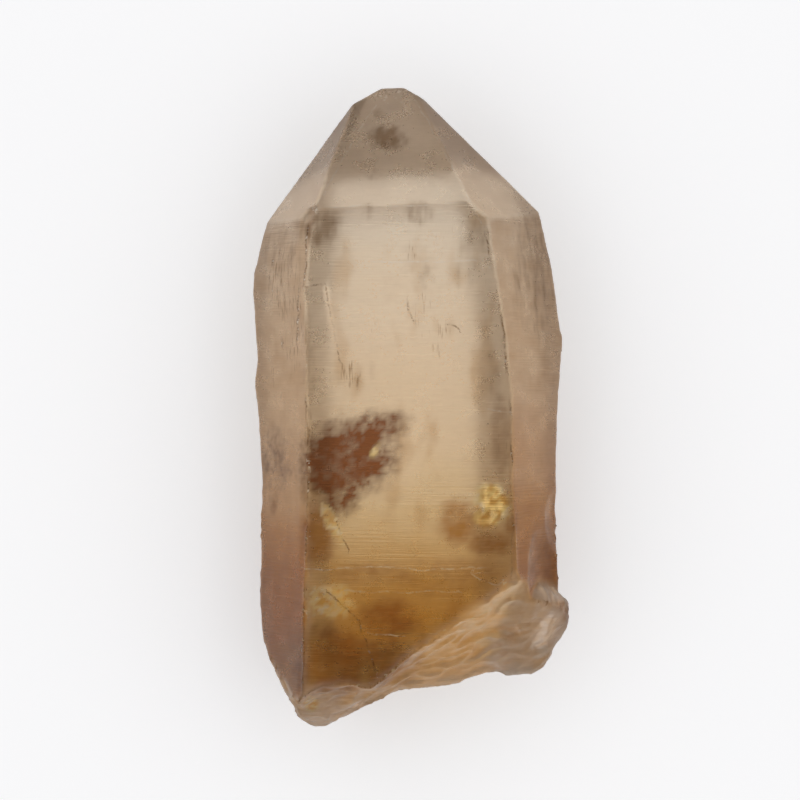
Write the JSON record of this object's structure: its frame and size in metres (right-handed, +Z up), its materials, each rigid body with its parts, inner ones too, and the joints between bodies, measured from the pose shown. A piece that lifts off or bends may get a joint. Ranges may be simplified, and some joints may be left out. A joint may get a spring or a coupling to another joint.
{
  "type": "quartz crystal point",
  "caption": "Loose six-sided citrine point with a pointed termination, frosted striated faces and a rough broken base, lying on its back face.",
  "frame": {"origin": "under the middle of the bounding box, on the surface the crystal lies on", "axes": "+Y along the growth axis to the tip, +Z up out of the broad front face, +X to the right as seen from the front with the tip up"},
  "size_m": [0.0786, 0.1596, 0.054],
  "materials": {
    "citrine": "frosted, see-through, smoky grey at the tip to amber brown at the base"
  },
  "bodies": {
    "root": {"crystal": "citrine"}
  },
  "joints": []
}
